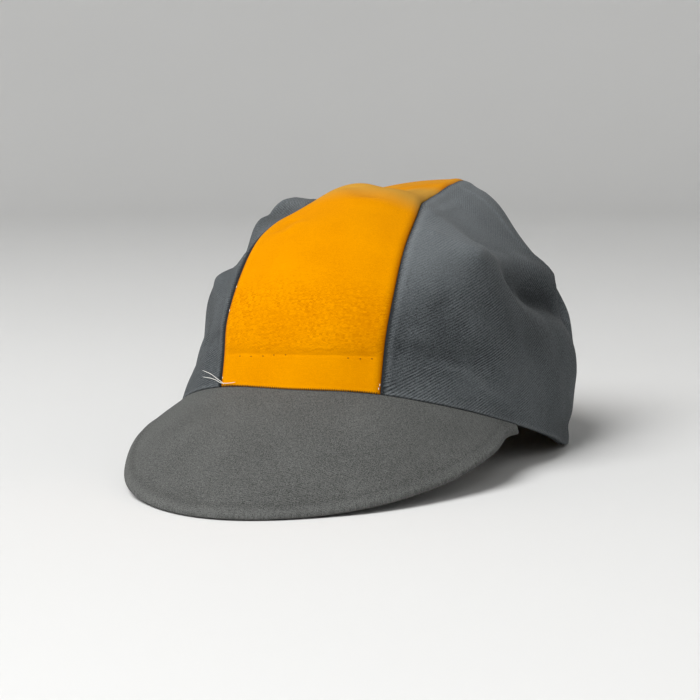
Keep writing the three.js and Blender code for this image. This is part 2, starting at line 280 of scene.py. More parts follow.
def hemOut(angle):
    # Level direction square to the hem's ellipse
    a = np.radians(angle)
    return unit(vec(np.sin(a) / crown["headWidth"], -np.cos(a) / crown["headLength"], 0))


def hemPoint(angle):
    # The hem: an ellipse, raised at the front and drawn in at the back
    a = np.radians(angle)
    turn = np.where(np.abs(angle) > 180, 360 - np.abs(angle), np.abs(angle))
    tuck = crown["rearTuck"] * through(hemStations, "angle", "tuck", turn, True)
    rise = crown["hemRise"] * np.maximum(0, through(hemStations, "angle", "rise", turn, True))
    y = -crown["headLength"] / 2 * np.cos(a) + toRow
    point = vec(crown["headWidth"] / 2 * np.sin(a), y, rise)
    return point - along(hemOut(angle), tuck)


def hemAngle(distance):
    return np.degrees(np.arcsin(distance / (crown["headWidth"] / 2)))


def stripHalf(at):
    return crown["stripWidth"] / 2 * section("width", at)


frontCorner = hemAngle(stripHalf(np.array(0.0)))
rearCorner = 180 - hemAngle(stripHalf(np.array(1.0)))


def footAngle(at):
    return frontCorner + (rearCorner - frontCorner) * np.clip(rib("foot", at), 0, 1)


def centrePoint(at):
    # The crown's centre line: y from the table, and z a share of what is left above a sloping base
    base = crown["hemRise"] * (1 - at) ** 2
    z = base + (crown["height"] - base) * section("height", at)
    return vec(0, crown["headLength"] / 2 * section("y", at) + toRow, z)


def centreOut(at):
    ahead, behind = np.minimum(at + crown["step"], 1), np.maximum(at - crown["step"], 0)
    run = centrePoint(ahead) - centrePoint(behind)
    return unit(vec(0, -run[..., 2], run[..., 1]))


def hemPull(at):
    # One at both hems, falling as a square to nothing at the hem share
    return np.maximum(0, 1 - np.minimum(at, 1 - at) / crown["hemShare"]) ** 2


def archedStrip(at, across):
    # The strip's section: a parabola across, tilted, square to the centre line
    half = stripHalf(at)
    point = centrePoint(at)
    point[..., 0] = half * across + crown["stripWidth"] / 2 * section("offset", at)
    lift = section("tilt", at) * across - section("arch", at) * across**2
    return point + along(centreOut(at), half * lift)


def stripPoint(at, across):
    # The arched strip, shifted near its ends so that it ends on the hem
    at, across = np.broadcast_arrays(np.asarray(at, float), across)
    end = np.where(at < 0.5, 0.0, 1.0)
    reach = hemAngle(stripHalf(end) * across)
    shift = hemPoint(np.where(end == 0, reach, 180 - reach)) - archedStrip(end, across)
    return archedStrip(at, across) + along(shift, hemPull(at))


def seamOut(at, side):
    # Outwards at a seam: half-way between the strip's slope and the side panel's
    edge = np.arctan(2 * section("arch", at) - side * section("tilt", at))
    turn = (edge + np.radians(rib("fall", at))) / 2
    out = along(centreOut(at), np.cos(turn))
    out[..., 0] = side * np.sin(turn)
    hem = hemOut(side * np.where(at < 0.5, frontCorner, rearCorner))
    return unit(between(out, hem, hemPull(at)))


def stripOut(at, across):
    at, across = np.broadcast_arrays(np.asarray(at, float), across)
    side = np.where(across < 0, -1.0, 1.0)
    hem = vec(0, np.where(at < 0.5, -1.0, 1.0), 0)
    flat = unit(between(centreOut(at), hem, hemPull(at)))
    return unit(between(flat, seamOut(at, side), np.abs(across)))


def seamAcross(at, side):
    # Level with the cloth and square to the seam, away from the strip
    ahead, behind = np.minimum(at + crown["step"], 1), np.maximum(at - crown["step"], 0)
    run = unit(stripPoint(ahead, side) - stripPoint(behind, side))
    return unit(along(np.cross(run, seamOut(at, side)), side))


def ribPoint(at, down, side):
    # A rib of a side panel: a cubic curve that leaves the seam, bulges and comes down on the hem
    top = stripPoint(at, side + 0 * at)
    angle = side * footAngle(at)
    foot = hemPoint(angle)
    length = np.linalg.norm(top - foot, axis=-1)
    fall, lean = np.radians(rib("fall", at)), np.radians(rib("lean", at))
    leave = along(centreOut(at), -np.sin(fall))
    leave[..., 0] = side * np.cos(fall)
    rise = along(upward + 0 * top, np.cos(lean)) - along(hemOut(angle), np.sin(lean))
    first = top + along(leave, length * rib("round", at))
    second = foot + along(rise, length * rib("upright", at))
    keep = 1 - down
    ends = along(top, keep**3) + along(foot, down**3)
    return ends + along(first, 3 * keep**2 * down) + along(second, 3 * keep * down**2)


def sideOut(at, down, side):
    return unit(between(seamOut(at, side), hemOut(side * footAngle(at)), down))


def awayFrom(at, down, start, end):
    # Distance from a straight stretch on a panel, and the share along it of the nearest place
    first = np.array([start[0] * crown["panelStretch"], start[1]])
    run = np.array([end[0] * crown["panelStretch"], end[1]]) - first
    dx, dy = at * crown["panelStretch"] - first[0], down - first[1]
    t = np.clip((dx * run[0] + dy * run[1]) / max(run @ run, 1e-12), 0, 1)
    return np.hypot(dx - t * run[0], dy - t * run[1]), t


def largeFold(at, down, side):
    # Depth of all the large folds: bell curves of the distance from their lines, faded at the edges
    depth = np.zeros(np.broadcast(at, down).shape)
    for panel, at0, down0, at1, down1, width, deep in zip(*largeFolds.values()):
        if panel == side:
            away, _ = awayFrom(at, down, (at0, down0), (at1, down1))
            depth += crown["foldDepth"] * deep * bump(away / width)
    fade = np.clip(down / foldFade["seam"], 0, 1) * np.clip((1 - down) / foldFade["hem"], 0, 1)
    return depth * fade * np.clip(np.minimum(at, 1 - at) / foldFade["ends"], 0, 1)


def sidePoint(at, down, side):
    at, down = np.broadcast_arrays(np.asarray(at, float), np.asarray(down, float))
    return ribPoint(at, down, side) + along(sideOut(at, down, side), largeFold(at, down, side))


def peakPoint(across, out):
    # The peak's upper face. out: -1 under the crown, 0 at the hem, 1 at the rim
    across, out = np.broadcast_arrays(np.asarray(across, float), np.asarray(out, float))
    angle = across * peakSize["halfAngle"]
    share = np.abs(across)
    ahead = np.maximum(out, 0)
    reach = peakSize["reach"] * through(peakStations, "at", "reach", share, True)
    fall = crown["hemRise"] - crown["seamGap"] - peakSize["thickness"]
    drop = fall * through(peakStations, "at", "drop", share, True)
    level = np.where(out < 0, out * peakSize["lap"], out * reach)
    point = hemPoint(angle) + along(hemOut(angle), level)
    point[..., 2] -= crown["seamGap"] + drop * (ahead + peakSize["hollow"] * (ahead**2 - ahead))
    point[..., 0] -= peakSize["skew"] * ahead * (1 - share**2) ** 2
    return point


# From a grid of points to a wall of cloth

edgePlaces = np.array([0, 0.03, 0.15, 0.35, 0.65, 1.0, 1.4, 2.0, 2.8]) / 1000  # rows close to an edge
linePlaces = np.linspace(-0.003, 0.003, 15)  # rows close to a sewn line
weldSize = 1e-7  # corners that agree to this become one


def placesAlong(length, pitch, lines=()):
    # Even places over a length, with closer ones at both ends and round each line that is named
    inner = np.linspace(edgePlaces[-1], length - edgePlaces[-1], round(length / pitch))
    close = [line + linePlaces for line in lines]
    places = np.unique(np.concatenate([edgePlaces, length - edgePlaces, inner, *close]).round(5))
    return places / length


def sharesAlong(curve, pitch, lines=()):
    # Shares at which a curve's rows lie: places along its running length, read backwards
    shares = np.linspace(0, 1, 1601)
    run = runAlong(curve(shares), 0)
    return np.interp(placesAlong(run[-1], pitch, lines) * run[-1], run, shares)


def gridOut(points, rough):
    # Outwards on a grid: square to both of its directions, or the rough direction where it narrows
    # to a point, and on the rough direction's side
    cross = np.cross(np.gradient(points, axis=0), np.gradient(points, axis=1))
    size = np.linalg.norm(cross, axis=-1, keepdims=True)
    sure = size / (size + 1e-10)
    cross = cross / np.maximum(size, 1e-16)
    cross = cross * np.where((cross * rough).sum(-1, keepdims=True) < 0, -1, 1)
    return unit(cross * sure + rough * (1 - sure))


def clothShell(name, points, out, edge, thickness, maps, attributes):
    # Two faces of a cloth wall that meet in a half-round along every border. With e the distance
    # from the border and r half the thickness, both lie r inside the grid, plus and minus
    # r times the root of 1 less the square of (1 - e / r). Nothing goes below the floor.
    half = thickness / 2
    part = 1 - np.minimum(edge, half) / half
    spread = half * np.sqrt(np.maximum(0, 1 - part**2))
    faces = [points - along(out, half - spread), points - along(out, half + spread)]
    rows, columns = edge.shape
    index = np.arange(rows * columns).reshape(rows, columns)
    a, b, c, d = index[:-1, :-1], index[1:, :-1], index[1:, 1:], index[:-1, 1:]
    quads = np.stack([a, b, c, d], -1).reshape(-1, 4)
    corners = np.concatenate([quads[:, [0, 1, 2]], quads[:, [0, 2, 3]]])
    triangles = np.concatenate([corners, corners[:, ::-1] + rows * columns])
    place = np.concatenate([face.reshape(-1, 3) for face in faces])
    place[:, 2] = np.maximum(place[:, 2], 0)
    keys = np.round(place / weldSize).astype(np.int64)
    _, first, merged = np.unique(keys, axis=0, return_index=True, return_inverse=True)
    merged = merged.ravel()
    joined = merged[triangles]
    whole = (joined[:, 0] != joined[:, 1]) & (joined[:, 1] != joined[:, 2]) & (joined[:, 2] != joined[:, 0])
    joined, loops = joined[whole], triangles[whole] % (rows * columns)
    place = place[first]
    middle = place - place.mean(0)
    volume = np.einsum("ij,ij->", middle[joined[:, 0]], np.cross(middle[joined[:, 1]], middle[joined[:, 2]]))
    if volume < 0:
        joined, loops = joined[:, ::-1], loops[:, ::-1]
    piece = meshFrom(name, place, joined)
    layer = piece.data.uv_layers.new(name="cloth")
    layer.data.foreach_set("uv", maps.reshape(-1, 2)[loops.ravel()].ravel().astype(np.float32))
    for key, values in attributes.items():
        stored = piece.data.attributes.new(key, "FLOAT", "POINT")
        filled = np.broadcast_to(values, edge.shape).ravel()
        stored.data.foreach_set("value", filled[first % (rows * columns)].astype(np.float32))
    return piece


def meshFrom(name, place, faces):
    # A mesh object of triangles or quads, made from whole arrays and shaded smooth
    mesh = bpy.data.meshes.new(name)
    mesh.vertices.add(len(place))
    mesh.vertices.foreach_set("co", place.ravel().astype(np.float32))
    mesh.loops.add(faces.size)
    mesh.loops.foreach_set("vertex_index", faces.ravel().astype(np.int32))
    mesh.polygons.add(len(faces))
    mesh.polygons.foreach_set("loop_start", np.arange(0, faces.size, faces.shape[1], dtype=np.int32))
    mesh.update(calc_edges=True)
    mesh.validate()
    mesh.shade_smooth()
    piece = bpy.data.objects.new(name, mesh)
    bpy.context.scene.collection.objects.link(piece)
    print(name, "has", len(faces), "faces")
    return piece


def dressPiece(piece, material, slot, *nodes):
    piece.data.materials.append(material)
    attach(piece, "root")
    if nodes:
        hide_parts(*nodes)


# Relief, and painted light and shade, that the cloths share. Pairs are the place and width of a
# bell curve, or where a fade begins and how far it takes.

relief = {
    "seamDip": 0.0006,  # how deep the cloth rolls into a seam
    "seamReach": 0.0013,  # how far from the seam
    "seamRoll": 0.0002,  # and how far it swells beside it
    "rollPlace": 2.4,  # where it swells most, in reaches
    "gather": 0.0011,  # depth of the gathers that the elastic makes at the back
    "gatherPitch": 0.0088,
    "gatherBend": 0.5,  # how far their pitch wanders, in gathers
    "bendLength": 0.013,
    "gatherRise": 0.014,  # how far up they reach
    "gatherFrom": (112, 30),  # degrees round the hem
    "slowShare": 0.4,  # strength and pace of a slower ripple in them
    "slowPace": 0.37,
    "sway": 0.00022,  # slight unevenness all over
    "swayLength": 0.012,  # its shortest wave, and what the longest has more
    "swayLonger": 0.048,
    "swayPhase": 6,
    "swaySum": 3,  # what the waves' strengths are divided by
    "foldTail": 0.25,  # share of a fine fold over which it fades out, where it names none
}
paintedTint = {
    "raised": 90,  # how much lighter for each metre of height: painted light on raised places, painted shade in hollows
    "roll": 0.06,  # painted highlight on the roll beside a seam
    "rollPlace": (0.0026, 0.0010),
    "hem": 0.20,  # on the hem's edge
    "hemReach": 0.0012,
    "seam": 0.6,  # painted shade: how much darker in the seam
    "seamReach": 0.0011,
}
swayWaves = np.random.default_rng(7).normal(size=(14, 5))  # directions, phases and strengths of the sway


def sway(points):
    # Slight unevenness: a sum of plane waves, 12 to 60 mm long, in fixed random directions
    total = np.zeros(points.shape[:-1])
    for x, y, z, phase, strength in swayWaves:
        way = np.array([x, y, z])
        wave = 2 * math.pi / (relief["swayLength"] + relief["swayLonger"] / (1 + np.linalg.norm(way)))
        place = points @ way / np.linalg.norm(way)
        total += strength * np.sin(place * wave + relief["swayPhase"] * phase)
    return relief["sway"] * total / relief["swaySum"]


def seamRelief(fromSeam):
    reach = relief["seamReach"]
    dip = relief["seamDip"] * bump(fromSeam / reach)
    return relief["seamRoll"] * bell(fromSeam, relief["rollPlace"] * reach, reach) - dip


def tintFrom(height, fromSeam, fromHem):
    # How much lighter or darker the cloth is painted: lighter on raised places and darker in hollows,
    # as painted light and shade, a painted highlight on the roll beside a seam, lighter on the hem's
    # edge, and painted shade in the seam itself
    lightened = paintedTint["roll"] * bell(fromSeam, *paintedTint["rollPlace"]) + paintedTint["hem"] * bump(fromHem / paintedTint["hemReach"])
    return height * paintedTint["raised"] + lightened - paintedTint["seam"] * bump(fromSeam / paintedTint["seamReach"])


def gathers(alongHem, fromHem, angle):
    # Upright ripples above the rear hem: a sine along the hem whose pitch wanders, dying away upwards
    bend = relief["gatherBend"] * np.sin(alongHem / relief["bendLength"])
    turn = 2 * math.pi * (alongHem / relief["gatherPitch"] + bend)
    weight = rising(np.abs(angle), *relief["gatherFrom"]) * np.exp(-fromHem / relief["gatherRise"])
    slow = relief["slowShare"] * np.sin(relief["slowPace"] * turn + 1)
    return relief["gather"] * weight * (np.sin(turn) + slow)


def foldField(at, down, folds):
    # Fine folds: for each path of straight stretches, a bell curve of the distance from the nearest
    # stretch, fading out towards both of its ends
    total = np.zeros(np.broadcast(at, down).shape)
    for fold in folds:
        stretches = list(zip(fold["path"], fold["path"][1:]))
        lengths = [math.hypot((b[0] - a[0]) * crown["panelStretch"], b[1] - a[1]) for a, b in stretches]
        before = 0
        nearest, share = np.full(total.shape, np.inf), np.zeros(total.shape)
        for (a, b), length in zip(stretches, lengths):
            away, t = awayFrom(at, down, a, b)
            closer = away < nearest
            nearest = np.where(closer, away, nearest)
            share = np.where(closer, (before + t * length) / sum(lengths), share)
            before += length
        tail = fold.get("tail", relief["foldTail"])
        fade = smooth(share / tail) * smooth((1 - share) / tail)
        total += fold["height"] * fade * bump(nearest / fold["width"])
    return total


# Yellow strip

strip = {
    "pitch": 0.0011,  # between rows of its grid
    "width": 0.056,  # what its columns are spread over
    "stitchLine": 0.0134,  # height of the sewn line above the front hem, at the middle
    "stitchSlope": 0.02,  # how much it rises towards the wearer's left
    "stitchDip": 0.00018,
    "stitchWidth": 0.0006,
    "stitchEnds": 0.004,  # how far from the seams it reaches its depth
    "puff": 0.0006,  # how far the cloth swells above the sewn line
    "puffStart": 0.004,
    "puffReach": 0.012,
    "puffEnds": 0.006,
    "front": (0.30, -0.05),  # both of these fade out along the strip
    "top": (0.30, 0.06),  # the duller top, painted grazing sheen, from and to
    "topEnd": (0.47, 0.06),
    "topSheen": 0.9,
    "rear": (0.50, 0.12),
    "rearDull": 0.55,
    "rearDarker": 0.15,
    "weave": (0, 0.002),  # the weave shows from above the sewn line to this high above the hem
    "weaveEnd": (0.036, 0.016),
    # painted shade under the swell above the sewn line, where the weave shows
    "puffShade": 0.12,
    "weaveLeft": 0.12,  # how much of it shows elsewhere
    "foldAcross": 8,  # how much less a distance across counts in the folds than one along
    "folds": [
        {"path": [(-0.20, 0.365), (0.12, 0.338), (0.39, 0.309)], "width": 0.030, "height": -0.0013},
        {"path": [(0.39, 0.309), (0.30, 0.40), (0.15, 0.53)], "width": 0.034, "height": -0.0013},
        {"path": [(-0.49, 0.220), (-0.43, 0.258)], "width": 0.014, "height": 0.0007},
        {"path": [(-0.66, 0.235), (-0.56, 0.275)], "width": 0.018, "height": -0.0007},
    ],
}


def stripFolds(at, across):
    # The strip's own soft valleys and ridges, along paths of (across, at)
    total = np.zeros(np.broadcast(at, across).shape)
    for fold in strip["folds"]:
        path = [(place[1], place[0] / strip["foldAcross"]) for place in fold["path"]]
        total += foldField(at, across / strip["foldAcross"], [{**fold, "path": path}])
    return total


def makeStrip(material):
    at = sharesAlong(centrePoint, strip["pitch"], [strip["stitchLine"]])[:, None]
    across = placesAlong(strip["width"], strip["pitch"])[None] * 2 - 1
    half = stripHalf(at)
    points = stripPoint(at, across)
    rough = stripOut(at, across)
    up = runAlong(points, 0)[:, len(across[0]) // 2][:, None] + 0 * across
    aside = half * across
    fromSeam = half * (1 - np.abs(across))
    fromHem = np.minimum(up, up[-1] - up)
    above = up - strip["stitchLine"] - strip["stitchSlope"] * aside
    front = rising(at, *strip["front"])
    line = -strip["stitchDip"] * bump(above / strip["stitchWidth"]) * front
    line = line * smooth(fromSeam / strip["stitchEnds"])
    puff = strip["puff"] * smooth(above / strip["puffStart"])
    puff = puff * np.exp(-np.maximum(above, 0) / strip["puffReach"]) * front
    ripple = gathers(aside, up[-1] - up, np.where(at > 0.5, 180 - hemAngle(aside), 0))
    low = seamRelief(fromSeam) + line + puff * smooth(fromSeam / strip["puffEnds"])
    height = low + stripFolds(at, across) + ripple + sway(points)
    points = points + along(gridOut(points, rough), height)
    points[..., 2] = np.maximum(points[..., 2], 0)
    maps = np.stack([aside, up], -1)
    top = rising(at, *strip["top"]) * (1 - rising(at, *strip["topEnd"]))
    rear = rising(at, *strip["rear"])
    shown = rising(above, *strip["weave"]) * (1 - rising(up, *strip["weaveEnd"]))
    # Painted shade under the swell above the sewn line; the dull colour paints grazing sheen on the top
    tint = tintFrom(height, fromSeam, fromHem) - strip["rearDarker"] * rear - strip["puffShade"] * shown
    weave = strip["weaveLeft"] + (1 - strip["weaveLeft"]) * shown
    values = {"tint": tint, "weave": weave, "dull": strip["topSheen"] * top + strip["rearDull"] * rear}
    edge = np.minimum(fromSeam, fromHem)
    piece = clothShell("strip_cloth", points, gridOut(points, rough), edge, crown["cloth"], maps, values)
    dressPiece(piece, material, "strip_cloth", "centre_panel")
    return piece


# Grey side panels

sides = {
    "pitch": 0.0012,
    "width": 0.115,  # what its columns are spread over
    "coarse": (45, 17),  # rows and columns of the grid on which the weave is laid out
    "narrow": 0.02,  # a panel has less relief where it is narrower than this
    "dent": 0.0012,  # how deep the cloth dips above the hem
    "dentRise": (0.008, 0.004),  # above the hem
    "dentFrom": (80, 20),  # degrees round the hem
    "dentTo": (150, -20),
    "foldSeam": 0.004,  # how far from the seam and the hem fine folds reach their height
    "foldHem": 0.002,
    "foldLeft": 0.2,  # share of that way that they are already up at the hem
    "low": (0.13, 0.16),  # where the weave shows more: along the panel, and down it
    "lowDown": (0.15, 0.40),
    "weave": 0.5,
    "weaveLow": 0.7,
    "upper": (0.060, 0.032),  # the lighter top, partly fading and partly painted light from above: above the floor, and down to the end of its share
    "upperEnd": (0.08, 0.42),
    # where the part near the hem turns lighter as painted light, and over how much
    "hemTone": (0.55, 0.30),
    # For each side, how much lighter its top (partly fading, partly painted light), its part near the
    # hem (painted light) and all of it (painted light and shade that differ by side) are
    "tones": {1: (0.50, 0.14, -0.24), -1: (0.08, 0.0, -0.17)},
    "folds": {
        1: [
            {
                "path": [(0.265, 0.0), (0.275, 0.12), (0.30, 0.24), (0.44, 0.30), (0.51, 0.36), (0.61, 0.49)],
                "width": 0.035, "height": 0.0007,
            },
            {
                "path": [(0.36, 0.38), (0.45, 0.43), (0.52, 0.51), (0.61, 0.60)],
                "width": 0.05, "height": -0.0010,
            },
            {"path": [(0.44, 0.45), (0.52, 0.51), (0.60, 0.57)], "width": 0.05, "height": -0.0016},
            {"path": [(0.61, 0.60), (0.72, 0.64)], "width": 0.09, "height": 0.0022},
            {
                "path": [(0.298, 0.0), (0.328, 0.037), (0.43, 0.062), (0.53, 0.08)],
                "width": 0.014, "height": 0.0005,
            },
            {"path": [(0.26, 0.0), (0.282, 0.042), (0.288, 0.092)], "width": 0.012, "height": 0.0005},
            {
                "path": [(0.064, 0.05), (0.07, 0.24), (0.09, 0.53), (0.137, 0.75)],
                "width": 0.045, "height": -0.0008,
            },
            {
                "path": [(0.079, 0.47), (0.103, 0.67), (0.16, 0.86), (0.25, 0.97)],
                "width": 0.035, "height": 0.0007,
            },
            {"path": [(0.181, 0.21), (0.151, 0.37), (0.19, 0.52)], "width": 0.08, "height": -0.0006},
            {"path": [(0.20, 0.30), (0.30, 0.62), (0.40, 0.88)], "width": 0.08, "height": -0.0006},
            {
                "path": [(0.567, 0.02), (0.582, 0.18), (0.58, 0.34), (0.61, 0.49)],
                "width": 0.012, "height": 0.0007, "tail": 0.06,
            },
            {"path": [(0.595, 0.02), (0.611, 0.18), (0.612, 0.32)], "width": 0.016, "height": -0.0005},
        ],
        -1: [
            {"path": [(0.37, 0.06), (0.43, 0.08), (0.50, 0.10)], "width": 0.09, "height": 0.0016},
            {"path": [(0.245, 0.065), (0.195, 0.155)], "width": 0.02, "height": -0.0008},
            {"path": [(0.066, 0.03), (0.096, 0.46), (0.18, 0.70)], "width": 0.04, "height": -0.0009},
            {"path": [(0.14, 0.50), (0.22, 0.85), (0.30, 0.95)], "width": 0.05, "height": 0.0008},
            {"path": [(0.33, 0.35), (0.48, 0.62), (0.56, 0.86)], "width": 0.05, "height": 0.0012},
            {"path": [(0.40, 0.33), (0.54, 0.58), (0.62, 0.84)], "width": 0.05, "height": -0.0012},
            {
                "path": [(0.57, 0.02), (0.581, 0.18), (0.582, 0.27), (0.575, 0.48)],
                "width": 0.012, "height": 0.0006, "tail": 0.06,
            },
        ],
    },
}


def levelMap(points, out):
    # Cloth coordinates of a side panel: the two numbers whose steps over a coarse grid best equal
    # the steps along the level direction and up the cloth, found by least squares, then spread
    # over the fine grid. The first one grows to the right, seen from outside.
    rows, columns = points.shape[:2]
    i, j = (
        np.unique(np.linspace(0, fine - 1, wide).round().astype(int))
        for fine, wide in zip((rows, columns), sides["coarse"])
    )
    coarse, normal = points[np.ix_(i, j)], out[np.ix_(i, j)]
    level = unit(np.cross(upward, normal))
    climb = np.cross(normal, level)
    number = np.arange(len(i) * len(j)).reshape(len(i), len(j))
    starts = np.concatenate([number[:-1].ravel(), number[:, :-1].ravel()])
    ends = np.concatenate([number[1:].ravel(), number[:, 1:].ravel()])
    flat = [array.reshape(-1, 3) for array in (coarse, level, climb)]
    step = flat[0][ends] - flat[0][starts]
    system = np.zeros((len(starts) + 1, number.size))
    system[np.arange(len(starts)), starts] = -1
    system[np.arange(len(starts)), ends] = 1
    system[-1, number[len(i) // 2, -1]] = 1
    goals = [np.append((step * (way[starts] + way[ends]) / 2).sum(-1), 0) for way in flat[1:]]
    solved = np.linalg.lstsq(system, np.stack(goals, -1), rcond=None)[0].reshape(len(i), len(j), 2)
    across = np.stack([[np.interp(np.arange(columns), j, row[:, k]) for row in solved] for k in (0, 1)])
    fine = [[np.interp(np.arange(rows), i, line) for line in across[k].T] for k in (0, 1)]
    return np.stack([np.array(one).T for one in fine], -1)


def makeSide(name, side, material, node):
    def middle(at):
        return sidePoint(at, 0.5 + 0 * at, side)

    at = sharesAlong(middle, sides["pitch"])[:, None]
    down = placesAlong(sides["width"], sides["pitch"])[None]
    points = sidePoint(at, down, side)
    rough = sideOut(at, down + 0 * at, side)
    fromSeam = runAlong(points, 1)
    fromHem = fromSeam[:, -1:] - fromSeam
    alongHem = runAlong(points[:, -1:], 0)
    alongHem = alongHem[-1] - alongHem + stripHalf(np.array(1.0))
    foot = footAngle(at)
    ripple = gathers(side * alongHem, fromHem, foot)
    dent = sides["dent"] * bell(fromHem, *sides["dentRise"])
    dent = dent * rising(foot, *sides["dentFrom"]) * rising(foot, *sides["dentTo"])
    narrow = smooth(fromSeam[:, -1:] / sides["narrow"])
    fine = foldField(at, down, sides["folds"][side]) * smooth(fromSeam / sides["foldSeam"])
    fine = fine * smooth(fromHem / sides["foldHem"] + sides["foldLeft"])
    height = seamRelief(fromSeam) * narrow + (fine + ripple - dent + sway(points)) * narrow
    points = points + along(gridOut(points, rough), height)
    points[..., 2] = np.maximum(points[..., 2], 0)
    out = gridOut(points, rough)
    maps = levelMap(points, rough)
    low = bell(at, *sides["low"]) * rising(down, *sides["lowDown"])
    # Painted light: a lighter top that is partly fading, a lighter part near the hem, and each side lighter
    # or darker as a whole
    upper = rising(points[..., 2], *sides["upper"]) * (1 - rising(down, *sides["upperEnd"]))
    lightened, nearHem, base = sides["tones"][side]
    fadeAndLight = lightened * upper + nearHem * rising(down, *sides["hemTone"]) + base
    tint = tintFrom(height, fromSeam, fromHem) + fadeAndLight
    values = {"tint": tint, "weave": sides["weave"] + sides["weaveLow"] * low, "dull": 0.0}
    edge = np.minimum(fromSeam, fromHem)
    piece = clothShell(name, points, out, edge, crown["cloth"], maps, values)
    dressPiece(piece, material, "side_cloth", node)
    return piece


# Peak

peak = {
    "pitch": 0.0011,
    "width": 0.2,  # what its columns are spread over
    "length": 0.066,  # and its rows, from the hem to the rim
    "roll": 0.0003,  # how far it swells beside the line sewn along its rim
    "rollPlace": (0.003, 0.0015),  # from the rim
    "sway": 0.7,  # share of the crown's unevenness
    "swayEnds": 0.004,
    "reliefFrom": 0.15,  # share of the way out where the relief is full
    "raised": 120,  # how much lighter for each metre of height: painted light on raised places, painted shade in low ones
    "rim": 0.12,  # how much lighter its rim is
    "rimPlace": (0.0012, 0.0012),
    "line": 0.10,  # how much darker the sewn line is
    "linePlace": (0.005, 0.0015),
    "weave": (0.35, 0.40),  # share of the way out where the weave begins to show
}


def makePeak(material):
    length, lap = peak["length"], peakSize["lap"]
    at = placesAlong(peak["width"], peak["pitch"])[:, None] * 2 - 1
    out = placesAlong(length + lap, peak["pitch"])[None]
    out = (out * (length + lap) - lap) / length
    out = np.where(out < 0, out / (lap / length), out)
    points = peakPoint(at, out)
    rough = np.broadcast_to(upward, points.shape)
    run = runAlong(points, 1)
    fromRim = run[:, -1:] - run
    edge = np.minimum(np.minimum(run, fromRim), runAlong(points[:, :1], 0))
    edge = np.minimum(edge, runAlong(points[::-1, :1], 0)[::-1])
    uneven = peak["sway"] * sway(points) * smooth(fromRim / peak["swayEnds"])
    height = peak["roll"] * bell(fromRim, *peak["rollPlace"]) + uneven
    height = height * smooth(out / peak["reliefFrom"])
    points = points + along(gridOut(points, rough), height)
    line = peak["line"] * bell(fromRim, *peak["linePlace"])
    # Painted light and shade from the height, a lighter rim and a darker sewn line
    tint = height * peak["raised"] + peak["rim"] * bell(fromRim, *peak["rimPlace"]) - line
    values = {"tint": tint, "weave": rising(out, *peak["weave"]), "dull": 0.0}
    piece = clothShell("peak_cloth", points, rough, edge, peakSize["thickness"], points[..., :2], values)
    dressPiece(piece, material, "peak_cloth", "peak")
    return piece


# Sweatband inside the hem

band = {
    "height": 0.022,
    "thickness": 0.001,
    "clearance": 0.0007,
    "columns": 240,
    "rows": 14,
    "lift": 0.0012,  # how much higher rays from the lowest places start, to meet flat cloth
    "liftEnd": 0.04,  # height at which they start level
}


def makeBand(panels, material):
    # The band follows the inside of the crown: rays from within find each place
    inset = crown["headWidth"] / 4
    trees = [BVHTree.FromObject(piece, bpy.context.evaluated_depsgraph_get()) for piece in panels]
    angle = np.linspace(0, 360, band["columns"] + 1)[:-1]
    angle = np.where(angle > 180, angle - 360, angle)[:, None] + np.zeros(band["rows"])
    height = np.linspace(0, band["height"], band["rows"])[None] + 0 * angle
    way = hemOut(angle)
    start = hemPoint(angle) - along(way, inset)
    start[..., 2] += height

    def reach(place, direction):
        lift = crown["seamGap"] + band["lift"] * (1 - min(1, place[2] / band["liftEnd"]))
        lifted = Vector(place) + Vector((0, 0, lift))
        hits = [tree.ray_cast(lifted, Vector(direction))[3] for tree in trees]
        return min([hit for hit in hits if hit] or [inset - crown["cloth"]])

    distance = [reach(*pair) for pair in zip(start.reshape(-1, 3), way.reshape(-1, 3))]
    distance = np.array(distance).reshape(angle.shape) - band["clearance"]
    points = start + along(way, distance)
    points = np.concatenate([points, points[:1]])
    way = np.concatenate([way, way[:1]])
    run = runAlong(points, 1)
    edge = np.minimum(run, run[:, -1:] - run)
    maps = np.stack([runAlong(points, 0)[:, :1] + 0 * run, run], -1)
    values = {"tint": 0.0, "weave": 1.0, "dull": 0.0}
    piece = clothShell("band_cloth", points, way, edge, band["thickness"], maps, values)
    dressPiece(piece, material, "band_cloth", "sweatband")
    return piece


# Threads, and short dark rods that paint the shade in needle holes, lying on the finished cloth.
# Places are (at, across) on the strip and (at, down) on a side panel.

